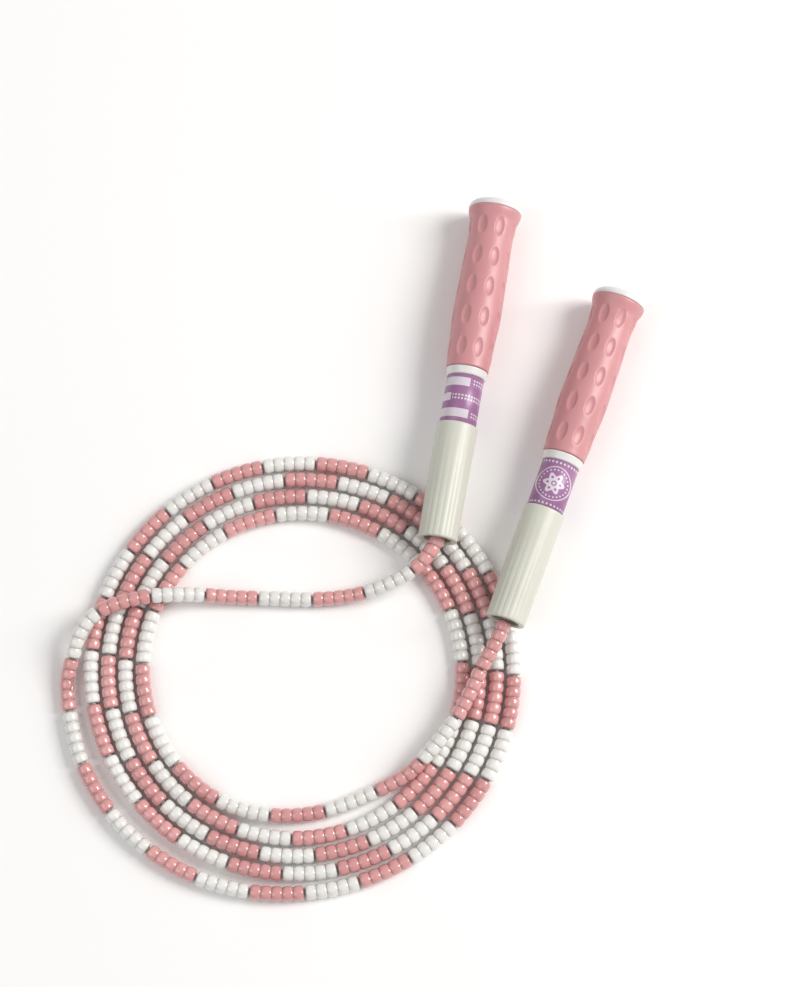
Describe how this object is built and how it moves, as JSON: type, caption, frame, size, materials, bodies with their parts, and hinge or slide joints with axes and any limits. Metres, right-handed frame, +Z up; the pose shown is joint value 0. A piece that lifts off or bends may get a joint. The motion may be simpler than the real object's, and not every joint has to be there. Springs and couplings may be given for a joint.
{
  "type": "jump rope",
  "caption": "Beaded jump rope laid in a flat coil: ribbed tube beads on a cord, and a dimpled grip handle with a fluted front sleeve turning on each end.",
  "frame": {"origin": "on the floor under the middle of the box round the two handles", "axes": "+Z up, +Y the way the butts of the handles point, +X to the side of handle B"},
  "size_m": [0.2668, 0.3246, 0.0259],
  "materials": {
    "cord": "braided cord",
    "pink_bead": "soft satin, dusty pink",
    "ivory_bead": "soft satin, ivory white",
    "steel": "plain",
    "white_plastic": "glossy white",
    "ivory_plastic": "satin ivory",
    "label_print": "printed film, purple and white",
    "pink_grip": "satin moulded, pink"
  },
  "bodies": {
    "rope": {"cord": "cord", "turn_1_pink_beads": "pink_bead", "turn_1_ivory_beads": "ivory_bead", "turn_2_pink_beads": "pink_bead", "turn_2_ivory_beads": "ivory_bead", "turn_3_pink_beads": "pink_bead", "turn_3_ivory_beads": "ivory_bead", "turn_4_pink_beads": "pink_bead", "turn_4_ivory_beads": "ivory_bead", "turn_5_pink_beads": "pink_bead", "turn_5_ivory_beads": "ivory_bead", "crossing_pink_beads": "pink_bead", "crossing_ivory_beads": "ivory_bead", "cord_stopper_a": "steel", "cord_stopper_b": "steel"},
    "handle_a": {"thrust_washer_a": "steel", "nose_bush_a": "white_plastic", "front_sleeve_a": "ivory_plastic", "core_tube_a": "white_plastic", "label_a": "label_print", "collar_ring_a": "white_plastic", "grip_a": "pink_grip"},
    "handle_b": {"thrust_washer_b": "steel", "nose_bush_b": "white_plastic", "front_sleeve_b": "ivory_plastic", "core_tube_b": "white_plastic", "label_b": "label_print", "collar_ring_b": "white_plastic", "grip_b": "pink_grip"},
    "cap_a": {"end_cap_a": "white_plastic"},
    "cap_b": {"end_cap_b": "white_plastic"}
  },
  "joints": [
    {"name": "handle_a_spin", "type": "hinge", "parent": "rope", "child": "handle_a", "pos_m": [-0.0443, -0.0615, 0.0168], "axis": [-0.1736, -0.9845, 0.0262], "continuous": true},
    {"name": "handle_b_spin", "type": "hinge", "parent": "rope", "child": "handle_b", "pos_m": [-0.014, -0.099, 0.0168], "axis": [-0.3403, -0.94, 0.0262], "continuous": true},
    {"name": "cap_a_pull", "type": "slide", "parent": "handle_a", "child": "cap_a", "axis": [0.1736, 0.9845, -0.0262], "range_m": [0, 0.02]},
    {"name": "cap_b_pull", "type": "slide", "parent": "handle_b", "child": "cap_b", "axis": [0.3403, 0.94, -0.0262], "range_m": [0, 0.02]}
  ]
}
